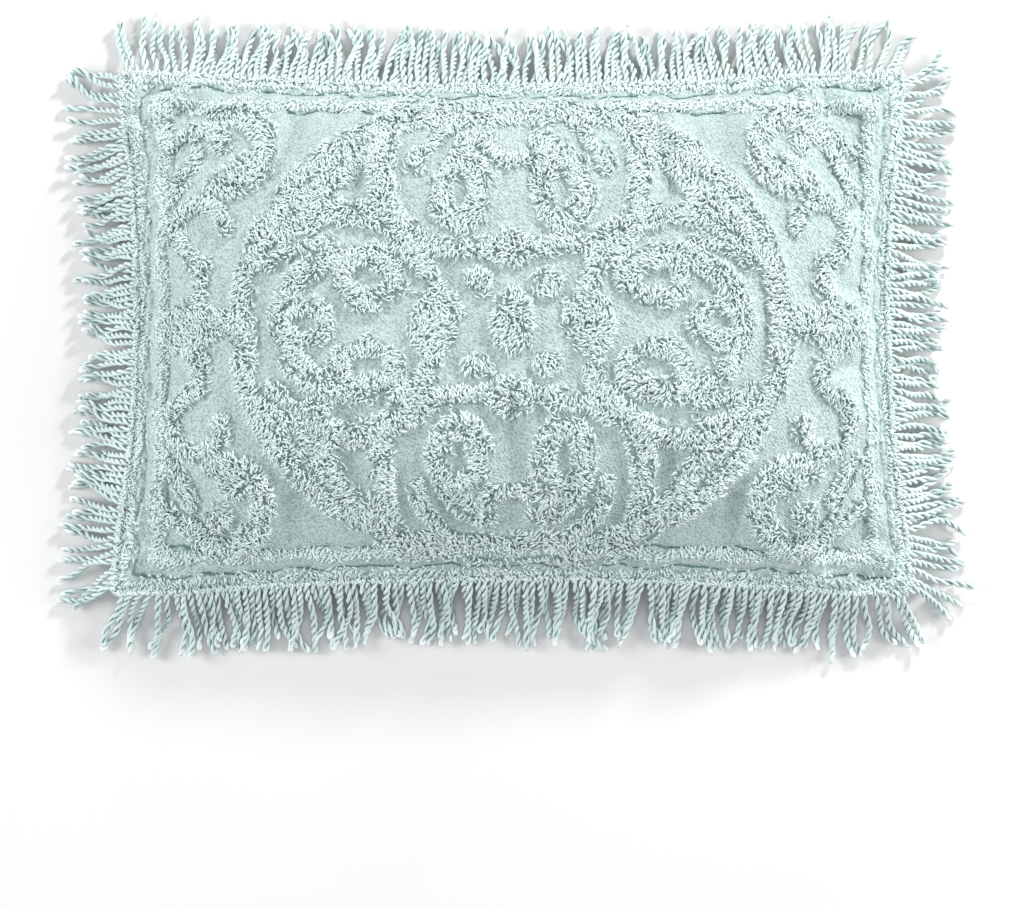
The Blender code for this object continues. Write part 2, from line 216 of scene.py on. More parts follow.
LOCK_OVERHANG = 0.0021
LEAST_ROOTED_SHARE = 0.6
BORDER_LOCK_SHARE = 0.74
BORDER_UPRIGHT = 0.50
BORDER_OUTWARD = 0.8
EDGE_OUTWARD = 0.9
BORDER_PALE = 0.65  # how far up the painted root shade, towards its pale tip, the colour of a border lock starts
PARTING_INSET = 0.0085  # outside this the border's locks lie outwards, over the seam

# The strokes of the tufted design. Their angles are in degrees.
Curl = namedtuple("Curl", "x y radius end_radius flatten start sweep width")
Bar = namedtuple("Bar", "x y end_x end_y width")
Bud = namedtuple("Bud", "x y length breadth lean")
BorderBand = namedtuple("BorderBand", "start end")
Motif = namedtuple("Motif", "piece strokes")
Side = namedtuple("Side", "name start_u start_v end_u end_v strands length")
LockRow = namedtuple("LockRow", "rise reach curl girth")
Wave = namedtuple("Wave", "size pace phase")

# A lock of pile from its root to its tip, in shares of its length and thickness.
LOCK_ROWS = (
    LockRow(0.0, 0.0, 0.0, 0.85),
    LockRow(0.80, 0.42, 1.0, 1.15),
    LockRow(0.62, 0.98, 0.1, 0.80),
)
LOCK_SHARES = np.linspace(0, 1, len(LOCK_ROWS))
LOCK_SIDES = 3
PLY_SIDES = 5
STEEP_RISE = 0.8  # a tube that starts steeper than this has its sides counted from X
# What an uneven wave is made of, from its longest part to its shortest.
UNEVEN_WAVES = (Wave(0.6, 1.0, 0.0), Wave(0.28, 1.73, 1.1), Wave(0.12, 2.9, 4.0))
# Insets of the border's two bands of pile.
BORDER_BANDS = (BorderBand(-0.0030, 0.0090), BorderBand(0.0172, 0.0264))
# One quarter of the tufted design, mirrored into the other three.
MOTIFS = (
    Motif("pile_medallion_ring", (
        Curl(0, 0, 0.248, 0.250, 0.87, 0, 90, 0.021),
        Curl(0, 0, 0.208, 0.216, 1.00, 28, 30, 0.021),
        Bar(0, 0.199, 0.112, 0.193, 0.019),
        Bud(0.188, 0.106, 0.030, 0.013, 130),
    )),
    Motif("pile_side_lobes", (
        Curl(0.154, 0, 0.103, 0.101, 1.00, 42, 84, 0.022),
        Curl(0.142, 0, 0.069, 0.061, 1.00, 0, 112, 0.021),
        Curl(0.130, 0.042, 0.029, 0.026, 0.76, 258, 318, 0.019),
        Curl(0.190, 0, 0.022, 0.022, 0.75, 0, 180, 0.016),
        Curl(0.155, 0, 0.079, 0.085, 1.00, 80, -40, 0.013),
    )),
    Motif("pile_end_lobes", (
        Curl(0, 0.143, 0.120, 0.120, 1.00, -42, 92, 0.022),
        Curl(0.047, 0.120, 0.0215, 0.018, 1.38, 160, -335, 0.021),
        Curl(0.012, 0.118, 0.058, 0.056, 1.00, 78, -50, 0.020),
        Curl(0, 0.178, 0.029, 0.029, 1.00, -90, 62, 0.015),
        Curl(0.020, 0.128, 0.071, 0.071, 1.00, 60, -46, 0.016),
    )),
    Motif("pile_middle_panel", (
        Bar(0, 0.067, 0.086, 0.071, 0.018),
        Bar(0.079, 0.066, 0.070, 0.020, 0.018),
        Bud(0, 0, 0.028, 0.019, 90),
        Bud(0.032, 0.036, 0.014, 0.013, 0),
        Bud(0, 0.068, 0.020, 0.017, 0),
        Bud(0.069, 0, 0.031, 0.024, 90),
        Bud(0.093, 0.077, 0.019, 0.016, 0),
    )),
    Motif("pile_corner_scrolls", (
        Curl(0.263, 0.165, 0.035, 0.036, 1.00, 290, -262, 0.022),
        Curl(0.284, 0.093, 0.018, 0.035, 1.00, 185, -268, 0.017),
        Curl(0.310, 0.043, 0.024, 0.024, 1.00, 135, 100, 0.017),
        Bar(0.262, 0, 0.322, 0, 0.028),
        Bar(0.290, 0.010, 0.312, 0.014, 0.020),
        Bar(0.299, 0.160, 0.317, 0.124, 0.018),
        Bar(0.300, 0.187, 0.324, 0.166, 0.014),
        Bud(0.250, 0.143, 0.020, 0.016, -15),
        Bud(0.271, 0.176, 0.014, 0.012, 60),
    )),
)
BORDER_PIECE = "pile_border_lines"
SIDES = (
    Side("fringe_front", -1, -1, 1, -1, COLUMNS, SHAM_WIDTH),
    Side("fringe_right", 1, -1, 1, 1, ROWS, SHAM_DEPTH),
    Side("fringe_back", 1, 1, -1, 1, COLUMNS, SHAM_WIDTH),
    Side("fringe_left", -1, 1, -1, -1, ROWS, SHAM_DEPTH),
)


# ---- the cushion's form -------------------------------------------------------------------------
def flare(share, draw_in):
    """How far outside its middle a drawn-in seam lies, at a share of the way to its corner."""
    return draw_in * np.abs(share) ** DRAW_IN_POWER


def stretched_place(share, half_size, spread):
    """A share of the half size, moved out within the border by the spread of the seam."""
    border_share = np.clip(1 - (1 - np.abs(share)) * half_size / BORDER_SPAN, 0, 1)
    return share * half_size + np.sign(share) * spread * border_share


def outline_place(u, v):
    """Where the seam's u and v, each from -1 to 1, lie on the cushion."""
    x = stretched_place(u, HALF_WIDTH, flare(v, SIDE_DRAW_IN))
    y = stretched_place(v, HALF_DEPTH, flare(u, END_DRAW_IN))
    tuck = CORNER_TUCK * np.abs(u * v) ** CORNER_TUCK_POWER
    return x - np.sign(u) * tuck, y - np.sign(v) * tuck


def seam_height(u, v):
    return SEAM_HEIGHT - CORNER_DROOP * (u * v) ** CORNER_DROOP_POWER


def corner_share(place, half_size, draw_in):
    """How far towards the corner, from 0 to 1, a place beside a seam lies."""
    knee = half_size - BORDER_SPAN
    return np.interp(np.abs(place), (0, knee, half_size + draw_in), (0, knee / half_size, 1))


def seam_flares(x, y):
    """How far outside their middles the side seams and the end seams lie beside a place."""
    return (flare(corner_share(y, HALF_DEPTH, END_DRAW_IN), SIDE_DRAW_IN),
            flare(corner_share(x, HALF_WIDTH, SIDE_DRAW_IN), END_DRAW_IN))


def seam_insets(x, y):
    side_flare, end_flare = seam_flares(x, y)
    return HALF_WIDTH + side_flare - np.abs(x), HALF_DEPTH + end_flare - np.abs(y)


def border_insets(x, y):
    """The seam insets on the scale of the border lines, which stay straight past the flares."""
    return [inset * BORDER_SPAN / (BORDER_SPAN + spread)
            for inset, spread in zip(seam_insets(x, y), seam_flares(x, y))]


def soft_least(first, second):
    """The smaller of two distances, rounded off where they are alike."""
    overlap = np.maximum(MITRE_ROUNDING - np.abs(first - second), 0)
    return np.minimum(first, second) - overlap ** 2 / (4 * MITRE_ROUNDING)


def uneven_wave(along, length):
    """A wave from -1 to 1 whose crests are neither level nor evenly spaced."""
    turn = 2 * math.pi * along / length
    return sum(wave.size * np.sin(wave.pace * turn + wave.phase) for wave in UNEVEN_WAVES)


def crown_profile(u, v):
    """How full the cushion is: 1 at its middle, 0 at the seam."""
    fullness = (1 - np.abs(u) ** CROWN_POWER) * (1 - np.abs(v) ** CROWN_POWER)
    return np.maximum(fullness, 0) ** CROWN_SHOULDER


def front_height(u, v):
    base = seam_height(u, v)
    return base + (CROWN_HEIGHT - base) * crown_profile(u, v)


def back_height(u, v):
    spread = np.maximum(np.abs(u), np.abs(v))
    rise = np.clip((spread - BASE_SHARE) / (1 - BASE_SHARE), 0, 1)
    return seam_height(u, v) * rise ** BASE_RISE_POWER


def nearer_side(x, y):
    """1 beside the short sides, 0 beside the long ones, and between the two at a corner."""
    side_inset, end_inset = border_insets(x, y)
    return smooth_step((end_inset - side_inset) / MITRE_RUN + 0.5)


def wandering_inset(x, y, crease=0):
    """How far inside the seam a place is, on the uneven scale that the border follows."""
    wave = BORDER_WAVE * uneven_wave(x - y + CREASE_SHIFT * crease, PUCKER_LENGTH)
    inset = soft_least(*border_insets(x, y))
    fade = np.clip(inset / WELT_CREASES[1], 0, 1)
    spread = np.where(x < 0, LEFT_SPREAD, RIGHT_SPREAD)
    return (inset + wave * fade) / (1 + spread * nearer_side(x, y))


def crease_distances(x, y):
    """How far inside each crease of the border each place is."""
    return [wandering_inset(x, y, number) - crease
            for number, crease in enumerate(WELT_CREASES) if number > 0]


def crease_share(x, y):
    """How deep the border's creases are at a place, and how strong their painted shade, 1 beside the
    long seams.
    """
    return 1 - (1 - SIDE_CREASE_SHARE) * nearer_side(x, y)


def welt_relief(x, y):
    """Height of the soft welts between the wandering creases beside the seam."""
    relief = np.zeros_like(x)
    outer = wandering_inset(x, y)
    for number, distance in enumerate(crease_distances(x, y)):
        share = np.clip(outer / np.maximum(outer - distance, TINY), 0, 1)
        along = x * WELT_WAVE_WAY[0] + y * WELT_WAVE_WAY[1] + number
        swell = MEAN_WELT + (1 - MEAN_WELT) * uneven_wave(along, WELT_WAVE_LENGTH)
        bulge = np.sqrt(np.sin(math.pi * share).clip(0))
        inside = (outer > 0) & (distance < 0)
        height = WELT_HEIGHT if number else SEAM_WELT_HEIGHT
        relief = relief + np.where(inside, height * swell * bulge, 0)
        depth = CREASE_DEPTH * crease_share(x, y)
        relief = relief - depth * np.exp(-(distance / CREASE_WIDTH) ** 2)
        outer = distance
    return relief


def gather_relief(x, y):
    """Short folds that run in from the seam and fade."""
    side_inset, end_inset = seam_insets(x, y)
    inset = soft_least(side_inset, end_inset)
    along = np.where(side_inset < end_inset, y, x)
    fade = np.clip(1 - inset / FINE_RUN, 0, 1) ** GATHER_FADE_POWER
    fade = np.clip(inset / GATHER_START, 0, 1) * fade
    return GATHER_HEIGHT * fade * uneven_wave(along + GATHER_SLANT * inset, GATHER_LENGTH)


def pile_dents(x, y):
    """How far the bare ground sinks beside the strokes of pile that hold it up."""
    shares = [stroke_offset(stroke, np.abs(x), np.abs(y))[0]
              for motif in MOTIFS for stroke in motif.strokes]
    away = smooth_step((np.min(shares, axis=0) - DENT_START) / DENT_RUN)
    return -DENT_DEPTH * away * smooth_step(wandering_inset(x, y) / WELT_CREASES[-1])


# ---- cloth --------------------------------------------------------------------------------------
def spaced_lines(half_size, fine, fine_run, broad):
    """Places from -1 to 1 of the cloth's cell lines, close together beside the seams."""
    edge = np.arange(0, fine_run, fine)
    middle_half = half_size - fine_run
    count = max(2, 2 * round(middle_half / broad) + 1)
    middle = np.linspace(-middle_half, middle_half, count)
    lines = np.concatenate([-half_size + edge, middle, half_size - edge[::-1]])
    return lines / half_size


def put_in_order(form):
    """Gives edges and faces one fixed order, so that the cloth swells alike in every run."""
    form.verts.index_update()
    count = len(form.verts)

    def order(part):
        lowest = sorted(vert.index for vert in part.verts)[:ORDER_CORNERS]
        return sum(index / count ** place for place, index in enumerate(lowest))

    form.edges.sort(key=order)
    form.faces.sort(key=order)


def cloth_form(across_lines, up_lines):
    """Front cloth as a grid and back cloth as rings drawn in from its rim; X and Y hold u and v.

    Z says which cloth a point is on: 1 for the front, -1 for the back, 0 for the rim.
    """
    form = bmesh.new()
    columns, rows = len(across_lines) - 1, len(up_lines) - 1
    bmesh.ops.create_grid(form, x_segments=columns, y_segments=rows, size=1.0)
    for vert in form.verts:
        vert.co.x = across_lines[round((vert.co.x + 1) / 2 * columns)]
        vert.co.y = up_lines[round((vert.co.y + 1) / 2 * rows)]
        on_rim = max(abs(vert.co.x), abs(vert.co.y)) > 1 - CLOSE
        vert.co.z = 0.0 if on_rim else 1.0
    edges = [edge for edge in form.edges if edge.is_boundary]
    for outer, inner in zip((1.0, *BACK_RINGS), BACK_RINGS):
        made = bmesh.ops.extrude_edge_only(form, edges=edges)["geom"]
        for vert in (part for part in made if isinstance(part, bmesh.types.BMVert)):
            vert.co = (vert.co.x * inner / outer, vert.co.y * inner / outer, -1.0)
        edges = [part for part in made if isinstance(part, bmesh.types.BMEdge) and part.is_boundary]
    bmesh.ops.contextual_create(form, geom=edges)
    bmesh.ops.recalc_face_normals(form, faces=form.faces[:])
    put_in_order(form)
    return form


def form_places(form):
    return np.array([vert.co[:] for vert in form.verts])


def cushion_places(template, fullness=1.0):
    """Places on the cushion for template points of u, v and side."""
    u, v, side = template.T
    x, y = outline_place(u, v)
    seam = seam_height(u, v)
    front = seam + (front_height(u, v) - seam) * fullness
    back = back_height(u, v)
    z = np.where(side > 0.5, front, np.where(side < -0.5, back, seam))
    return np.stack([x, y, z], axis=1)


def place_form(form, places):
    for vert, place in zip(form.verts, places):
        vert.co = place


def new_object(name, form):
    mesh = bpy.data.meshes.new(name)
    form.to_mesh(mesh)
    form.free()
    made = bpy.data.objects.new(name, mesh)
    bpy.context.scene.collection.objects.link(made)
    return made


def swell_cloth():
    """Blows the cloth up on its filling; gives u, v lines and how each front point moved."""
    across = spaced_lines(HALF_WIDTH, SWELL_CELL, SWELL_CELL, SWELL_CELL)
    up = spaced_lines(HALF_DEPTH, SWELL_CELL, SWELL_CELL, SWELL_CELL)
    form = cloth_form(across, up)
    template = form_places(form)
    start = cushion_places(template, fullness=START_FULLNESS)
    place_form(form, start)
    held = [i for i, point in enumerate(template) if point[2] < 0.5]
    cloth = new_object("swelling_cloth", form)
    group = cloth.vertex_groups.new(name="held")
    group.add(held, 1.0, "REPLACE")
    modifier = cloth.modifiers.new("filling", "CLOTH")
    settings = modifier.settings
    settings.quality = 6
    settings.mass = 0.25
    settings.tension_stiffness = 18
    settings.compression_stiffness = 12
    settings.shear_stiffness = 6
    settings.bending_stiffness = 0.35
    settings.vertex_group_mass = "held"
    settings.use_pressure = True
    settings.uniform_pressure_force = SWELL_PRESSURE
    settings.shrink_min = -SPARE_CLOTH
    settings.effector_weights.gravity = 0.0
    modifier.collision_settings.use_collision = False
    scene = bpy.context.scene
    for number in range(1, SWELL_FRAMES + 1):
        scene.frame_set(number)
    shown = cloth.evaluated_get(bpy.context.evaluated_depsgraph_get())
    end = np.array([vert.co[:] for vert in shown.data.vertices])
    scene.frame_set(1)
    mesh = cloth.data
    bpy.data.objects.remove(cloth)
    bpy.data.meshes.remove(mesh)
    moved = end - start
    field = np.zeros((len(across), len(up), 3))
    on_front = template[:, 2] > 0.5
    columns = np.searchsorted(across, template[on_front, 0] - CLOSE)
    rows = np.searchsorted(up, template[on_front, 1] - CLOSE)
    field[columns, rows] = moved[on_front]
    field -= smoothed(field, EVEN_SWELL_CELLS)
    length = np.linalg.norm(field, axis=2, keepdims=True)
    field *= SWELL_LIMIT / np.maximum(length, SWELL_LIMIT)
    return across, up, field


def smoothed(field, cells):
    """The field with everything shorter than about this many cells taken out."""
    for axis in (0, 1):
        for _ in range(SMOOTHING_PASSES):
            padding = [(0, 0)] * 3
            padding[axis] = (cells, cells)
            total = np.cumsum(np.pad(field, padding, mode="edge"), axis=axis)
            ahead = np.take(total, range(2 * cells, total.shape[axis]), axis=axis)
            behind = np.take(total, range(0, total.shape[axis] - 2 * cells), axis=axis)
            field = (ahead - behind) / (2 * cells)
    return field


def swelling_at(field_lines, u, v):
    """How the swollen cloth lies off the plain form at u and v."""
    across, up, field = field_lines
    column = np.clip(np.searchsorted(across, u) - 1, 0, len(across) - 2)
    row = np.clip(np.searchsorted(up, v) - 1, 0, len(up) - 2)
    s = (u - across[column]) / (across[column + 1] - across[column])
    t = (v - up[row]) / (up[row + 1] - up[row])
    s, t = (smooth_step(part)[:, None] for part in (s, t))
    near = field[column, row] * (1 - s) + field[column + 1, row] * s
    far = field[column, row + 1] * (1 - s) + field[column + 1, row + 1] * s
    return near * (1 - t) + far * t


def smooth_step(share):
    share = np.clip(share, 0, 1)
    return share * share * (3 - 2 * share)


def add_mark(mesh, label, values):
    layer = mesh.attributes.new(label, "FLOAT", "POINT")
    layer.data.foreach_set("value", values.astype(np.float32).reshape(-1))


def make_cover(field_lines, material):
    """The sham's front and back cloth, with its welts and gathers."""
    across = spaced_lines(HALF_WIDTH, FINE_CELL, FINE_RUN, BROAD_CELL)
    up = spaced_lines(HALF_DEPTH, FINE_CELL, FINE_RUN, BROAD_CELL)
    form = cloth_form(across, up)
    template = form_places(form)
    places = cushion_places(template)
    front = template[:, 2] > 0.5
    x, y = places[front, 0], places[front, 1]
    places[front] += swelling_at(field_lines, template[front, 0], template[front, 1])
    places[front, 2] += welt_relief(x, y) + gather_relief(x, y) + pile_dents(x, y)
    place_form(form, places)
    cover = new_object("sham_cloth", form)
    cover.data.shade_smooth()
    # Distances from the creases and their strength, read by the ground's painted crease shade.
    marks = dict(zip(CREASE_MARKS, crease_distances(x, y)), crease_share=crease_share(x, y))
    for label, marked in marks.items():
        values = np.full(len(places), -1.0)
        values[front] = marked
        add_mark(cover.data, label, values)
    cover.data.materials.append(material)
    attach(cover, "root")
    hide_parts("sham")
    return cover


# ---- joined tubes, for pile and cord ------------------------------------------------------------
def unit(vectors):
    """The vectors made one metre long."""
    return vectors / np.maximum(np.linalg.norm(vectors, axis=-1, keepdims=True), TINY)


def lengths_along(paths):
    """How far along its path each point is."""
    steps = np.linalg.norm(np.diff(paths, axis=1), axis=2)
    return np.concatenate([np.zeros((len(paths), 1)), np.cumsum(steps, axis=1)], axis=1)


def turned(ways, angle):
    """Level ways turned about the vertical."""
    return np.stack([ways[:, 0] * np.cos(angle) - ways[:, 1] * np.sin(angle),
                     ways[:, 0] * np.sin(angle) + ways[:, 1] * np.cos(angle)], axis=1)


def tube_rings(paths, radii, sides):
    """Points round each path: paths is (tubes, points, 3) and radii is (tubes, points)."""
    run = unit(np.gradient(paths, axis=1))
    steep = np.abs(run[:, 0, 2:3]) >= STEEP_RISE
    helper = np.where(steep, [[1.0, 0.0, 0.0]], [[0.0, 0.0, 1.0]])
    side = unit(np.cross(run[:, 0], helper))
    aside = [side]
    for number in range(1, paths.shape[1]):
        ahead = run[:, number]
        side = unit(side - np.sum(side * ahead, axis=1, keepdims=True) * ahead)
        aside.append(side)
    aside = np.stack(aside, axis=1)
    above = np.cross(run, aside)
    angle = 2 * math.pi * np.arange(sides) / sides
    ring = aside[:, :, None] * np.cos(angle)[:, None] + above[:, :, None] * np.sin(angle)[:, None]
    return paths[:, :, None] + ring * radii[:, :, None, None]


def tube_faces(points, sides):
    """Faces of one tube as lists of its own point numbers."""
    faces = [[*range(sides)][::-1]]
    for ring in range(points - 1):
        for corner in range(sides):
            here, there = ring * sides + corner, ring * sides + (corner + 1) % sides
            faces.append([here, there, there + sides, here + sides])
    faces.append([(points - 1) * sides + corner for corner in range(sides)])
    return faces


def make_tubes(name, paths, radii, sides, material, tone, tip, facing=None):
    """One mesh of a closed tube along each path, with its length and a tone of its own.

    facing points away from the tube's partner, so that the sides facing it can be given painted
    shade.
    """
    tubes, points, _ = paths.shape
    rings = tube_rings(paths, radii, sides)
    # Painted shade: each ply is darkened on the side that faces its partner.
    ply_shade = np.zeros((tubes, points * sides))
    if facing is not None:
        outward = unit(rings - paths[:, :, None])
        inward = -np.sum(outward * facing[:, :, None], axis=3)
        ply_shade = np.clip(inward, 0, 1).reshape(tubes, points * sides)
    length = np.repeat(lengths_along(paths), sides, axis=1)
    around = np.tile(np.arange(sides) / sides, (tubes, points))
    count = points * sides
    faces = tube_faces(points, sides)
    corners = np.concatenate(faces)
    sizes = np.array([len(face) for face in faces])
    offset = (np.arange(tubes) * count)[:, None]
    mesh = bpy.data.meshes.new(name)
    mesh.vertices.add(tubes * count)
    mesh.vertices.foreach_set("co", rings.reshape(-1))
    mesh.loops.add(tubes * len(corners))
    mesh.loops.foreach_set("vertex_index", (corners + offset).reshape(-1))
    mesh.polygons.add(tubes * len(faces))
    starts = np.concatenate([[0], np.cumsum(sizes)[:-1]])
    starts = starts[None] + (np.arange(tubes) * len(corners))[:, None]
    mesh.polygons.foreach_set("loop_start", starts.reshape(-1))
    mesh.update(calc_edges=True)
    mesh.validate()
    mesh.shade_smooth()
    marks = {"along": length, "around": around, "ply_shade": ply_shade,
             "tone": tone[:, None] + 0 * length, "tip": np.repeat(tip, sides, axis=1)}
    for label, values in marks.items():
        add_mark(mesh, label, values)
    mesh.materials.append(material)
    made = bpy.data.objects.new(name, mesh)
    bpy.context.scene.collection.objects.link(made)
    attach(made, "root")
    return made


# ---- tufted pile --------------------------------------------------------------------------------
def stroke_line(stroke):
    """The middle line of a curl or bar."""
    if isinstance(stroke, Bar):
        return np.array([[stroke.x, stroke.y], [stroke.end_x, stroke.end_y]], dtype=float)
    longest = math.radians(abs(stroke.sweep)) * max(stroke.radius, stroke.end_radius)
    share = np.linspace(0, 1, int(longest / STROKE_SPACING) + LEAST_STROKE_POINTS)
    angle = np.radians(stroke.start + stroke.sweep * share)
    radius = stroke.radius + (stroke.end_radius - stroke.radius) * share
    across = stroke.x + radius * np.cos(angle)
    up = stroke.y + stroke.flatten * radius * np.sin(angle)
    return np.stack([across, up], axis=1)


def rooted_half(half_width):
    """Half of the strip that holds the roots in a band of pile this wide."""
    return max(half_width - LOCK_OVERHANG, LEAST_ROOTED_SHARE * half_width)


def stroke_offset(stroke, across, up):
    """For each place, how far out of the stroke's roots it is, 1 at their edge, and which way.

    The last value is the way across the stroke, the same on both sides of its middle.
    """
    if isinstance(stroke, Bud):
        lean = math.radians(stroke.lean)
        along = (across - stroke.x) * math.cos(lean) + (up - stroke.y) * math.sin(lean)
        aside = (up - stroke.y) * math.cos(lean) - (across - stroke.x) * math.sin(lean)
        share = np.hypot(along / rooted_half(stroke.length), aside / rooted_half(stroke.breadth))
        way = np.stack([across - stroke.x, up - stroke.y], axis=1)
        return share, unit(way), np.tile([-math.sin(lean), math.cos(lean)], (len(across), 1))
    nearest = np.full(len(across), np.inf)
    way, grain = np.zeros((2, len(across), 2))
    points = stroke_line(stroke)
    for start, end in zip(points[:-1], points[1:]):
        run = end - start
        share = ((across - start[0]) * run[0] + (up - start[1]) * run[1]) / (run @ run)
        share = np.clip(share, 0, 1)
        offset = np.stack([across - start[0] - share * run[0], up - start[1] - share * run[1]], 1)
        distance = np.linalg.norm(offset, axis=1)
        closer = distance < nearest
        nearest = np.where(closer, distance, nearest)
        way[closer] = offset[closer]
        grain[closer] = (-run[1], run[0])
    return nearest / rooted_half(stroke.width / 2), unit(way), unit(grain)


def drift_field(x, y, length, draw):
    """A smooth random value for each place, about -1 to 1, that changes over length."""
    total = np.zeros_like(x)
    for _ in range(DRIFT_WAVES):
        heading = draw.uniform(0, 2 * math.pi)
        turn = 2 * math.pi / (length * draw.uniform(*DRIFT_LENGTHS))
        phase = draw.uniform(0, 2 * math.pi)
        total += np.sin(turn * (x * math.cos(heading) + y * math.sin(heading)) + phase)
    return total / math.sqrt(DRIFT_WAVES / 2) / DRIFT_PEAK


def tuft_places(draw):
    """Every place on the front that could hold a lock, in uneven rows."""
    rise = TUFT_SPACING * math.sqrt(3) / 2
    rows = np.arange(-SHAM_DEPTH / 2, SHAM_DEPTH / 2, rise)
    columns = np.arange(-SHAM_WIDTH / 2, SHAM_WIDTH / 2, TUFT_SPACING)
    x, y = np.meshgrid(columns, rows)
    x = x + (np.arange(len(rows)) % 2)[:, None] * TUFT_SPACING / 2
    x = x + TUFT_SPACING * draw.uniform(-TUFT_SHIFT, TUFT_SHIFT, x.shape)
    y = y + TUFT_SPACING * draw.uniform(-TUFT_SHIFT, TUFT_SHIFT, x.shape)
    return x.reshape(-1), y.reshape(-1)


def sort_tufts(x, y, draw):
    """Gives each place its pile piece (-1 for none), its share out of the stroke, and two ways.

    The first way is out of the stroke and the second is across it.
    """
    across, up = np.abs(x), np.abs(y)
    ragged = 1 + PILE_RAGGED * drift_field(x, y, RAGGED_LENGTH, draw)
    best = np.full(len(x), np.inf)
    owner = np.full(len(x), -1)
    way, grain = np.zeros((2, len(x), 2))
    for number, motif in enumerate(MOTIFS):
        for stroke in motif.strokes:
            share, out, cross = stroke_offset(stroke, across, up)
            share = share / ragged
            closer = share < best
            best = np.where(closer, share, best)
            owner = np.where(closer & (share < 1), number, owner)
            way[closer] = out[closer]
            grain[closer] = cross[closer]
    mirrored = np.stack([np.sign(x), np.sign(y)], axis=1)
    way, grain = way * mirrored, grain * mirrored
    grain *= np.sign(grain @ np.array(COMB_WAY) + TINY)[:, None]
    bands = [wandering_inset(x, y, number) for number in range(len(BORDER_BANDS))]
    owner = np.where(bands[-1] < BORDER_BANDS[-1].start, -1, owner)
    beside = nearer_side(x, y)[:, None] > 0.5
    inwards = np.where(beside, np.stack([-np.sign(x), 0 * y], axis=1),
                       np.stack([0 * x, -np.sign(y)], axis=1))
    for place, band in zip(bands, BORDER_BANDS):
        share = np.abs(2 * place - band.start - band.end) / (band.end - band.start) / ragged
        taken = share < np.where(owner >= 0, np.minimum(best, 1), 1)
        best = np.where(taken, share, best)
        owner = np.where(taken, len(MOTIFS), owner)
        way[taken] = (inwards * np.where(place < PARTING_INSET, -1, 1)[:, None])[taken]
        grain[taken] = inwards[taken]
    return owner, best, way, grain


def lock_paths(root, normal, lean_way, length, upright, draw):
    """The curved middle lines and thicknesses of the locks that stand on these roots."""
    count = len(root)
    lean = np.concatenate([lean_way, np.zeros((count, 1))], axis=1)
    lean = unit(lean - np.sum(lean * normal, axis=1, keepdims=True) * normal)
    bend = np.cross(normal, lean)
    length = length * draw.uniform(*LOCK_LENGTHS, count)
    upright = np.clip(upright + UPRIGHT_SPREAD * draw.normal(0, 1, count), LEAST_UPRIGHT, 1)
    curl = LOCK_CURL * draw.normal(0, 1, count) * length
    paths = []
    for row in LOCK_ROWS:
        reach = row.reach * (1 - UPRIGHT_SHORTENING * upright)
        place = root + normal * (row.rise * upright * length - LOCK_SINK)[:, None]
        place = place + lean * (reach * length)[:, None] + bend * (row.curl * curl)[:, None]
        paths.append(place)
    girths = np.array([row.girth for row in LOCK_ROWS])
    thickness = LOCK_RADIUS * draw.uniform(*LOCK_GIRTHS, count)
    return np.stack(paths, axis=1), thickness[:, None] * girths


def grow_pile(cover, material, draw):
    """Curved locks of pile on the cover, one joined mesh for each part of the design."""
    x, y = tuft_places(draw)
    owner, share, way, grain = sort_tufts(x, y, draw)
    taken = owner >= 0
    x, y, owner, share, way, grain = (part[taken] for part in (x, y, owner, share, way, grain))
    tree = BVHTree.FromObject(cover, bpy.context.evaluated_depsgraph_get())
    down = Vector((0, 0, -1))
    hits = [tree.ray_cast(Vector((a, b, 1.0)), down)[:2] for a, b in zip(x, y)]
    met = np.array([hit[0] is not None for hit in hits])
    x, y, owner, share, way, grain = (part[met] for part in (x, y, owner, share, way, grain))
    root = np.array([hit[0][:] for hit in hits if hit[0] is not None])
    normal = np.array([hit[1][:] for hit in hits if hit[0] is not None])
    normal = unit(normal * np.sign(normal[:, 2:3]) + np.array([0, 0, LOCK_SKYWARD]))

    whirl = drift_field(x, y, WHIRL_LENGTH, draw)
    whirl = math.pi * (whirl + FINE_WHIRL * drift_field(x, y, FINE_WHIRL_LENGTH, draw))
    swirl = np.stack([np.cos(whirl), np.sin(whirl)], axis=1)
    loose = draw.normal(0, 1, (len(x), 2))
    on_border = owner == len(MOTIFS)
    edge_outward = EDGE_OUTWARD * np.minimum(share, 1) ** 3
    outward = np.where(on_border, BORDER_OUTWARD, edge_outward)[:, None]
    combed = np.clip(COMB_BIAS + COMB_SWING * drift_field(x, y, COMB_LENGTH, draw), -1, 1)
    combed = np.where(on_border, 0, LOCK_COMB * combed)[:, None]
    lean_way = way * outward + grain * combed + LOCK_SWIRL * swirl + LOCK_LOOSENESS * loose
    lean_way = unit(lean_way)
    length = np.where(on_border, LOCK_LENGTH * BORDER_LOCK_SHARE, LOCK_LENGTH)
    upright = np.where(on_border, BORDER_UPRIGHT, STROKE_UPRIGHT - EDGE_FLATTENING * share)
    paths, radii = lock_paths(root, normal, lean_way, length, upright, draw)
    tone = draw.uniform(0, 1, len(x))
    # tip sets the painted shade down each lock's root; border locks start part way up, so their
    # roots are painted less dark
    pale = BORDER_PALE + (1 - BORDER_PALE) * LOCK_SHARES
    tip = np.where(on_border[:, None], pale, LOCK_SHARES)
    names = [motif.piece for motif in MOTIFS] + [BORDER_PIECE]
    for number, name in enumerate(names):
        mine = owner == number
        piece = make_tubes(name, paths[mine], radii[mine], LOCK_SIDES, material,
                           tone[mine], tip[mine])


# ---- fringe -------------------------------------------------------------------------------------
def cell_lines(cells, half_size):
    """Places from -1 to 1 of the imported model's cell lines."""
    edge = 1 - np.array(EDGE_LINES) / half_size
    middle = np.linspace(-edge[-1], edge[-1], cells + 3 - 2 * len(edge))
    return np.concatenate([-edge[:-1], middle, edge[-2::-1]])


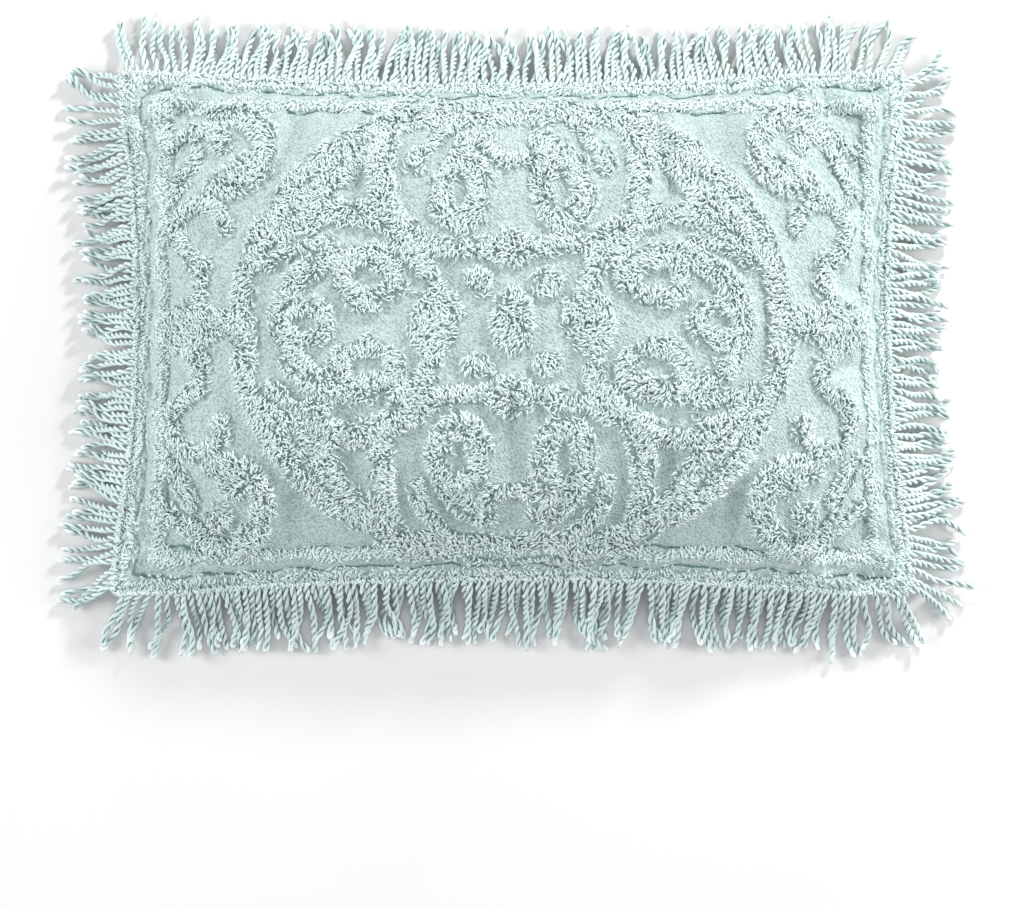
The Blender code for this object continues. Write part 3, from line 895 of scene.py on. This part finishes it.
def side_seam(side):
    """Points and heights of the seam that a side of the fringe is sewn to."""
    share = (cell_lines(side.strands, side.length / 2) + 1) / 2
    u = side.start_u + (side.end_u - side.start_u) * share
    v = side.start_v + (side.end_v - side.start_v) * share
    x, y = outline_place(u, v)
    return np.stack([x, y], axis=1), seam_height(u, v)


def clump_leans(count, draw):
    """How far along the side each tip leans, towards the middle of its clump."""
    leans = []
    while len(leans) < count:
        members = int(draw.integers(STRANDS_IN_CLUMP[0], STRANDS_IN_CLUMP[1] + 1))
        drift = CLUMP_DRIFT * draw.uniform(-1, 1)
        for member in range(members):
            leans.append(drift - CLUMP_LEAN * (member - (members - 1) / 2))
    return np.array(leans[:count])


def strand_routes(side, draw):
    """For each strand its root, its run to the tip and its height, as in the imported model."""
    seam, height = side_seam(side)
    root = (seam[:-1] + seam[1:]) / 2
    along = unit(seam[1:] - seam[:-1])
    out = np.stack([along[:, 1], -along[:, 0]], axis=1)
    root = root + out * (SEWING_GAP + HEADING_WIDTH)
    spacing = np.linalg.norm(seam[1:] - seam[:-1], axis=1)
    travelled = np.cumsum(spacing) - spacing / 2
    to_start = np.clip(1 - travelled / FAN_RUN, 0, 1)
    to_end = np.clip(1 - (travelled[-1] + spacing[-1] / 2 - travelled) / FAN_RUN, 0, 1)
    angle = FAN_ANGLE * (to_end ** FAN_POWER - to_start ** FAN_POWER)
    nearness = np.maximum(to_start, to_end)
    reach = SIDE_REACH + (CORNER_REACH - SIDE_REACH) * nearness
    reach = reach + REACH_SPREAD * draw.uniform(-1, 1, side.strands)
    lean = clump_leans(side.strands, draw) * (1 - nearness) * (1 + EXTRA_GATHER)
    way = out * np.cos(angle)[:, None] + along * np.sin(angle)[:, None]
    run = way * reach[:, None] + along * lean[:, None]
    return root, out, run, (height[:-1] + height[1:]) / 2


def strand_centres(routes, share, draw):
    """Middle line of each strand at the shares of its length: level, down, then on the floor."""
    root, out, run, height = routes
    count = len(root)
    share = np.broadcast_to(share, (count, len(share)))
    swing = STRAND_SWING * draw.normal(0, 1, count)
    run = turned(run, swing) * draw.uniform(SHORTEST_STRAND, LONGEST_STRAND, (count, 1))
    reach = np.linalg.norm(run, axis=1)
    across = np.stack([-run[:, 1], run[:, 0]], axis=1) / reach[:, None]
    wiggle = 0
    for waves in WIGGLE_WAVES:
        turn = share * waves * draw.uniform(*WIGGLE_PACES, (count, 1))
        turn = turn + draw.uniform(0, 1, (count, 1))
        size = STRAND_WIGGLE / waves * draw.normal(0, 1, (count, 1))
        wiggle = wiggle + size * np.sin(2 * math.pi * turn)
    hook = np.clip(share - HOOK_START, 0, 1) ** 2 / (1 - HOOK_START) ** 2
    hook = TIP_HOOK * draw.normal(0, 1, (count, 1)) * hook
    aside = wiggle * smooth_step(share * WIGGLE_START) + hook
    plan = (root - out * HEADING_WIDTH * ROOT_DEPTH)[:, None] * (1 - share)[..., None]
    plan = plan + (root + run)[:, None] * share[..., None] + across[:, None] * aside[..., None]
    landing = LANDING_SHARE + LANDING_SPREAD * draw.uniform(-1, 1, (count, 1))
    drop = smooth_step((share - DROP_START) / (landing - DROP_START))
    lift = np.clip(share - LIFT_START, 0, 1) / (1 - LIFT_START)
    lift = TIP_LIFT * np.abs(draw.normal(0, 1, (count, 1))) * lift
    rest = PLY_RADIUS + TWIST_RADIUS
    z = rest + (height[:, None] - rest) * (1 - drop) + lift
    return np.concatenate([plan, z[..., None]], axis=2)


def settle_strands(centres):
    """Lifts strands where they cross, so that each lies over or beside its neighbours."""
    apart = 2 * (PLY_RADIUS + TWIST_RADIUS) * SETTLED_SPACING
    for _ in range(SETTLING_ROUNDS):
        for step in (1, 2):
            first, second = centres[:-step], centres[step:]
            offset = second - first
            distance = np.linalg.norm(offset, axis=2, keepdims=True)
            push = np.clip(apart - distance, 0, None) * SETTLING_PUSH
            order = np.where(np.arange(len(first)) % 2 == 0, 1.0, -1.0)[:, None]
            way = offset / np.maximum(distance, TINY)
            way[..., 2] += SETTLING_RISE * order
            way = unit(way)
            centres[step:] += push * way
            centres[:-step] -= push * way
        lowest = THICKEST_PLY * PLY_RADIUS + TWIST_RADIUS * (1 + TWIST_UNEVENNESS)
        centres[..., 2] = np.maximum(centres[..., 2], lowest)
        kept = (1 - 2 * SETTLING_EASE) * centres[:, 1:-1]
        centres[:, 1:-1] = kept + SETTLING_EASE * (centres[:, :-2] + centres[:, 2:])
    return centres


def twisted_paths(centres, draw):
    """Both plies of each strand as one path: out along it, round its tip and back."""
    count = len(centres)
    run = unit(np.gradient(centres, axis=1))
    side = unit(np.cross(run, np.array([0.0, 0.0, 1.0])))
    above = np.cross(side, run)
    length = lengths_along(centres)
    turns = length / TWIST_LENGTH * draw.uniform(*TWIST_PACES, (count, 1))
    wobble = length / TWIST_WOBBLE_RUN + draw.uniform(0, 2 * math.pi, (count, 1))
    turns = turns + TWIST_WOBBLE * np.sin(wobble)
    angle = 2 * math.pi * (turns + draw.uniform(0, 1, (count, 1)))
    uneven = length / TWIST_UNEVEN_RUN + draw.uniform(*TWIST_UNEVEN_PHASES, (count, 1))
    spread = TWIST_RADIUS * (1 + TWIST_UNEVENNESS * np.sin(uneven))
    ply = (side * np.cos(angle)[..., None] + above * np.sin(angle)[..., None]) * spread[..., None]
    out_ply, back_ply = centres + ply, (centres - ply)[:, ::-1]
    bend = np.array(TIP_BENDS) * math.pi
    tip = centres[:, -1:] + ply[:, -1:] * np.cos(bend)[:, None]
    tip = tip + run[:, -1:] * (TIP_LOOP * np.sin(bend))[:, None]
    facing = np.concatenate([ply, 0 * tip, -ply[:, ::-1]], axis=1)
    paths = np.concatenate([out_ply, tip, back_ply], axis=1)
    paths[..., 2] = np.maximum(paths[..., 2], THICKEST_PLY * PLY_RADIUS)
    return paths, unit(facing)


def make_heading(side, material, draw):
    """Short locks along the strip that holds the strands, lying out over their tops."""
    seam, height = side_seam(side)
    places, out, rise = [], [], []
    for start, end, low, high in zip(seam[:-1], seam[1:], height[:-1], height[1:]):
        run = end - start
        count = max(2, round(np.linalg.norm(run) / HEADING_SPACING))
        share = (np.arange(count) + draw.uniform(*HEADING_PLACES, count)) / count
        away = np.array([run[1], -run[0]]) / np.linalg.norm(run)
        shift = draw.uniform(-HEADING_SHIFT, HEADING_SHIFT, count)
        offset = HEADING_OFFSET + HEADING_SPACING * shift
        places.append(start + run * share[:, None] + away * offset[:, None])
        out.append(np.tile(away, (count, 1)))
        fall = HEADING_THICKNESS / 2 - HEADING_FALL * offset
        rise.append(low + (high - low) * share + fall)
    places, out, rise = (np.concatenate(part) for part in (places, out, rise))
    root = np.concatenate([places, rise[:, None]], axis=1)
    normal = unit(np.concatenate([HEADING_TILT * out, np.ones((len(out), 1))], axis=1))
    swirl = math.pi * drift_field(places[:, 0], places[:, 1], HEADING_SWIRL_LENGTH, draw)
    lean_way = turned(out, HEADING_SWIRL * swirl)
    paths, radii = lock_paths(root, normal, lean_way, HEADING_LOCK, HEADING_UPRIGHT, draw)
    tone = draw.uniform(0, 1, len(paths))
    # these locks start part way up the painted root shade, like the border's
    tip = np.tile(BORDER_PALE + (1 - BORDER_PALE) * LOCK_SHARES, (len(paths), 1))
    heading = make_tubes(side.name + "_heading", paths, radii, LOCK_SIDES, material, tone, tip)
    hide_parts(side.name)


def cord_routes(routes):
    """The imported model's strand routes shared out among more and thinner cords."""
    strands = len(routes[0])
    place = (np.arange(round(strands * CORDS_TO_STRANDS)) + 0.5) / CORDS_TO_STRANDS - 0.5
    place = np.clip(place, 0, strands - 1)
    lower = np.minimum(place.astype(int), strands - 2)
    share = (place - lower)[:, None]
    shared = []
    for part in routes:
        part = part.reshape(strands, -1)
        between = part[lower] * (1 - share) + part[lower + 1] * share
        shared.append(between)
    root, out, run, height = shared
    return root, unit(out), run, height[:, 0]


def make_fringe(side, routes, material, draw):
    """The twisted cords of one side, joined in one mesh."""
    share = np.linspace(0, 1, STRAND_POINTS)
    centres = settle_strands(strand_centres(cord_routes(routes), share, draw))
    paths, facing = twisted_paths(centres, draw)
    radii = PLY_RADIUS * draw.uniform(THINNEST_PLY, THICKEST_PLY, paths.shape[:2])
    tone = draw.uniform(0, 1, len(paths))
    # tip rises towards each cord's tip, where the material paints a highlight
    there_and_back = 1 - np.abs(np.linspace(-1, 1, paths.shape[1]))
    tip = there_and_back * draw.uniform(*TIP_HIGHLIGHT_REACH, (len(paths), 1))
    strands = make_tubes(side.name + "_strands", paths, radii, PLY_SIDES, material,
                         tone, tip, facing)
    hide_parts(side.name)


# ---- colours and finishes -----------------------------------------------------------------------
WHITE = (1.0, 1.0, 1.0)
BLACK = (0.0, 0.0, 0.0)
GROUND_COLOURS = ((0.510, 0.630, 0.620), (0.540, 0.660, 0.650))
# painted shade in the hollows of the pebbly weave
PAINTED_PEBBLE_SHADE = (0.50, 0.56, 0.56)
PEBBLE_SHARE = 0.8
# painted shade along the border's creases; the next value breaks the line here and there
PAINTED_CREASE_SHADE = (0.26, 0.38, 0.38)
CREASE_GAP = (0.2, 0.2, 0.2)
# painted shade at the locks' roots, then the yarn's own colour at their tips
PAINTED_ROOT_SHADE = (0.240, 0.370, 0.365)
YARN_TIP = (0.840, 0.970, 0.960)
DULLEST_LOCK = (0.90, 0.915, 0.92)
WASHED_YARN = (0.95, 0.965, 0.975)
CORD_COLOURS = ((0.610, 0.740, 0.720), (0.700, 0.820, 0.800))
DULLEST_CORD = (0.92, 0.93, 0.93)
# painted shade between a cord's two plies
PAINTED_PLY_SHADE = (0.34, 0.44, 0.42)
# painted highlight on the cords' tips
PAINTED_TIP_HIGHLIGHT = (0.88, 0.94, 0.93)
FLOOR_COLOURS = ((0.755, 0.75, 0.752), (0.775, 0.77, 0.772))
CREPE_SLANT = math.radians(48)
CREASE_RAGGED = 0.0028
CREASE_SCALE = 100  # turns metres from a crease into the shares of its shading
PLY_YARN_LENGTH = 0.0030  # of one turn of the fine yarns round a ply
SHEEN_ROUGHNESS = 0.6
SPECULAR = 0.25
# Where a Mix node keeps its factor and its two colours, and the colour that it gives.
MIX_INPUTS = (0, 6, 7)
MIX_OUTPUT = 2


# ---- materials ----------------------------------------------------------------------------------
class Finish:
    """A cloth material being put together, node by node."""

    def __init__(self, name, roughness, sheen):
        self.material = bpy.data.materials.new(name)
        self.material.use_nodes = True
        self.nodes = self.material.node_tree.nodes
        self.links = self.material.node_tree.links
        self.shader = self.nodes["Principled BSDF"]
        self.shader.inputs["Roughness"].default_value = roughness
        self.shader.inputs["Sheen Weight"].default_value = sheen
        self.shader.inputs["Sheen Roughness"].default_value = SHEEN_ROUGHNESS
        self.shader.inputs["Specular IOR Level"].default_value = SPECULAR

    def node(self, kind, **settings):
        made = self.nodes.new(kind)
        for key, value in settings.items():
            if key in made.inputs:
                made.inputs[key].default_value = value
            else:
                setattr(made, key, value)
        return made

    def link(self, source, target):
        self.links.new(source, target)

    def feed(self, socket, value):
        """Sets a socket to a number or a colour, or links it to another node's output."""
        if isinstance(value, (int, float)):
            socket.default_value = value
        elif isinstance(value, tuple):
            socket.default_value = (*value, 1.0)
        else:
            self.link(value, socket)

    def place(self):
        return self.node("ShaderNodeTexCoord").outputs["Object"]

    def attribute(self, name):
        return self.node("ShaderNodeAttribute", attribute_name=name).outputs["Fac"]

    def noise(self, vector, scale, detail):
        made = self.node("ShaderNodeTexNoise", Scale=scale, Detail=detail)
        self.link(vector, made.inputs["Vector"])
        return made.outputs["Fac"]

    def math(self, operation, first, second):
        made = self.node("ShaderNodeMath", operation=operation)
        for socket, value in zip(made.inputs, (first, second)):
            self.feed(socket, value)
        return made.outputs["Value"]

    def ramp(self, factor, *stops):
        made = self.node("ShaderNodeValToRGB")
        elements = made.color_ramp.elements
        for number, (place, colour) in enumerate(stops):
            element = elements[number] if number < 2 else elements.new(place)
            element.position = place
            element.color = (*colour, 1.0)
        self.link(factor, made.inputs["Fac"])
        return made.outputs["Color"]

    def mix(self, factor, first, second, blend="MIX"):
        made = self.node("ShaderNodeMix", data_type="RGBA", blend_type=blend)
        for number, value in zip(MIX_INPUTS, (factor, first, second)):
            self.feed(made.inputs[number], value)
        return made.outputs[MIX_OUTPUT]

    def shaded(self, colour, shade, share=1.0):
        """The colour darkened by the shade, by a share of the shade's own strength."""
        return self.mix(share, colour, shade, "MULTIPLY")

    def bump(self, height, distance, strength, under=None):
        made = self.node("ShaderNodeBump", Distance=distance, Strength=strength)
        self.link(height, made.inputs["Height"])
        if under is not None:
            self.link(under, made.inputs["Normal"])
        return made.outputs["Normal"]

    def finish(self, colour, normal):
        self.link(colour, self.shader.inputs["Base Color"])
        self.link(normal, self.shader.inputs["Normal"])
        return self.material


def crepe_cloth():
    """Fine pebbly cotton ground, washed to an even seafoam, with painted shade in the pebbles'
    hollows and along the border's creases.
    """
    finish = Finish("crepe_ground", roughness=0.88, sheen=0.12)
    place = finish.place()
    slanted = finish.node("ShaderNodeMapping", vector_type="TEXTURE")
    slanted.inputs["Rotation"].default_value = (0, 0, CREPE_SLANT)
    slanted.inputs["Scale"].default_value = (1.0, 2.0, 1.0)
    finish.link(place, slanted.inputs["Vector"])
    pebbles = finish.noise(slanted.outputs["Vector"], scale=620, detail=1.5)
    threads = finish.noise(place, scale=1500, detail=1.0)
    clouds = finish.noise(place, scale=9, detail=2.0)
    colour = finish.ramp(clouds, (0.30, GROUND_COLOURS[0]), (0.70, GROUND_COLOURS[1]))
    # Painted shade: the low points of the pebbles, which the bump below sinks, are darkened.
    dark = finish.ramp(pebbles, (0.34, PAINTED_PEBBLE_SHADE), (0.55, WHITE))
    colour = finish.shaded(colour, dark, PEBBLE_SHARE)
    # Painted shade: a dark, ragged, broken line along each crease of the border, strongest beside
    # the long seams.
    for label in CREASE_MARKS:
        ragged = finish.noise(place, scale=210, detail=2.0)
        ragged = finish.math("MULTIPLY", ragged, CREASE_RAGGED)
        ragged = finish.math("ADD", ragged, -CREASE_RAGGED / 2)
        distance = finish.math("ADD", finish.attribute(label), ragged)
        distance = finish.math("MULTIPLY", finish.math("ABSOLUTE", distance, 0), CREASE_SCALE)
        breaks = finish.noise(place, scale=90, detail=1.0)
        breaks = finish.ramp(breaks, (0.57, BLACK), (0.68, CREASE_GAP))
        distance = finish.math("ADD", distance, breaks)
        line = finish.ramp(distance, (0.05, PAINTED_CREASE_SHADE), (0.13, WHITE))
        colour = finish.shaded(colour, line, finish.attribute("crease_share"))
    normal = finish.bump(pebbles, distance=0.0020, strength=1.0)
    normal = finish.bump(threads, distance=0.0004, strength=0.4, under=normal)
    return finish.finish(colour, normal)


def chenille_yarn():
    """Soft cut cotton yarn, pale and fuzzy at its tip, with painted shade that darkens it down at
    its root.
    """
    finish = Finish("chenille_yarn", roughness=0.92, sheen=0.25)
    place = finish.place()
    tone = finish.attribute("tone")
    # Painted shade: each lock darkens from its tip down to its root.
    colour = finish.ramp(finish.attribute("tip"), (0.14, PAINTED_ROOT_SHADE), (0.60, YARN_TIP))
    varied = finish.ramp(tone, (0.0, DULLEST_LOCK), (1.0, WHITE))
    colour = finish.shaded(colour, varied)
    clouds = finish.noise(place, scale=14, detail=2.0)
    washed = finish.ramp(clouds, (0.35, WASHED_YARN), (0.65, WHITE))
    colour = finish.shaded(colour, washed)
    fuzz = finish.noise(place, scale=2600, detail=2.0)
    return finish.finish(colour, finish.bump(fuzz, distance=0.0003, strength=0.7))


def twisted_cotton():
    """Cotton cord whose own fine yarns wind round each ply, with painted shade between the plies and
    a painted highlight on its tips.
    """
    finish = Finish("twisted_cotton", roughness=0.85, sheen=0.15)
    along = finish.attribute("along")
    around = finish.attribute("around")
    winding = finish.math("ADD", finish.math("DIVIDE", along, PLY_YARN_LENGTH), around)
    wave = finish.math("SINE", finish.math("MULTIPLY", winding, 2 * math.pi), 0)
    place = finish.place()
    clouds = finish.noise(place, scale=30, detail=2.0)
    colour = finish.ramp(clouds, (0.3, CORD_COLOURS[0]), (0.7, CORD_COLOURS[1]))
    tone = finish.ramp(finish.attribute("tone"), (0.0, DULLEST_CORD), (1.0, WHITE))
    colour = finish.shaded(colour, tone)
    # painted shade between the plies, on the sides that face each other
    ply_shade = finish.ramp(finish.attribute("ply_shade"), (0.20, WHITE), (0.85, PAINTED_PLY_SHADE))
    colour = finish.shaded(colour, ply_shade)
    # Painted highlight: the last few millimetres of each cord are lightened towards white.
    tip_highlight = finish.ramp(finish.attribute("tip"), (0.86, BLACK), (0.97, WHITE))
    colour = finish.mix(tip_highlight, colour, PAINTED_TIP_HIGHLIGHT)
    fuzz = finish.noise(place, scale=2400, detail=2.0)
    normal = finish.bump(fuzz, distance=0.0002, strength=0.5)
    normal = finish.bump(wave, distance=0.00015, strength=0.25, under=normal)
    return finish.finish(colour, normal)


def pale_floor():
    """The plain, almost white floor that the cushion lies on."""
    finish = Finish("pale_floor", roughness=0.7, sheen=0.0)
    place = finish.place()
    clouds = finish.noise(place, scale=3, detail=1.0)
    colour = finish.ramp(clouds, (0.3, FLOOR_COLOURS[0]), (0.7, FLOOR_COLOURS[1]))
    grain = finish.noise(place, scale=300, detail=1.0)
    return finish.finish(colour, finish.bump(grain, distance=0.0001, strength=0.05))


# ---- room, light and camera ---------------------------------------------------------------------
Lamp = namedtuple("Lamp", "name place target size power colour")

FLOOR_SIZE = 6.0
LAMPS = (
    Lamp("key_light", (1.73, 2.77, 1.52), (0, 0, 0.05), 0.45, 102, (1.0, 0.99, 0.98)),
    Lamp("left_light", (-3.4, 0.2, 1.5), (0, 0, 0.05), 1.8, 97, WHITE),
    Lamp("right_light", (3.4, -0.2, 1.5), (0, 0, 0.05), 1.8, 80, WHITE),
    Lamp("sky_light", (0, -0.5, 4.4), (0, 0, 0), 4.0, 62, (0.97, 0.99, 1.0)),
)
ROOM_COLOUR = (0.95, 0.96, 0.98)
ROOM_STRENGTH = 0.33
CAMERA_DISTANCE = 2.0
CAMERA_ELEVATION = math.radians(85)
METRES_PER_PIXEL = 0.000944  # at the height of the seam
PICTURE_WIDTH = 1024  # in pixels, as is the next
CUSHION_RISE = 124  # how far the cushion's middle is above the picture's
SENSOR_WIDTH = 36


def make_floor():
    form = bmesh.new()
    bmesh.ops.create_grid(form, x_segments=1, y_segments=1, size=FLOOR_SIZE)
    floor = new_object("floor", form)
    floor.data.materials.append(pale_floor())


def hang_lamp(lamp):
    """A round soft light that faces its target."""
    light = bpy.data.lights.new(lamp.name, "AREA")
    light.shape = "DISK"
    light.size = lamp.size
    light.energy = lamp.power
    light.color = lamp.colour
    holder = bpy.data.objects.new(lamp.name, light)
    holder.location = lamp.place
    aim = Vector(lamp.target) - Vector(lamp.place)
    holder.rotation_euler = aim.to_track_quat("-Z", "Y").to_euler()
    bpy.context.scene.collection.objects.link(holder)


def light_room():
    for lamp in LAMPS:
        hang_lamp(lamp)
    world = bpy.data.worlds.new("room")
    world.use_nodes = True
    shade = world.node_tree.nodes["Background"]
    shade.inputs["Color"].default_value = (*ROOM_COLOUR, 1)
    shade.inputs["Strength"].default_value = ROOM_STRENGTH
    bpy.context.scene.world = world
    bpy.context.scene.view_settings.view_transform = "Standard"


def place_camera():
    """Looks almost straight down at the front, with the cushion above the picture's middle."""
    camera = bpy.data.cameras.new("camera")
    camera.sensor_width = SENSOR_WIDTH
    camera.lens = SENSOR_WIDTH * CAMERA_DISTANCE / (PICTURE_WIDTH * METRES_PER_PIXEL)
    camera.shift_y = -CUSHION_RISE / PICTURE_WIDTH
    holder = bpy.data.objects.new("camera", camera)
    target = Vector((0, 0, SEAM_HEIGHT))
    back = Vector((0, -math.cos(CAMERA_ELEVATION), math.sin(CAMERA_ELEVATION)))
    holder.location = target + back * CAMERA_DISTANCE
    holder.rotation_euler = (math.pi / 2 - CAMERA_ELEVATION, 0, 0)
    bpy.context.scene.collection.objects.link(holder)
    bpy.context.scene.camera = holder


def main():
    place_camera()
    light_room()
    make_floor()
    field_lines = swell_cloth()
    cover = make_cover(field_lines, crepe_cloth())
    yarn = chenille_yarn()
    grow_pile(cover, yarn, np.random.default_rng(PILE_SEED))
    cord = twisted_cotton()
    route_draw = np.random.default_rng(FRINGE_SEED)
    strand_draw = np.random.default_rng(CORD_SEED)
    for side in SIDES:
        routes = strand_routes(side, route_draw)
        make_fringe(side, routes, cord, strand_draw)
        make_heading(side, yarn, strand_draw)


main()
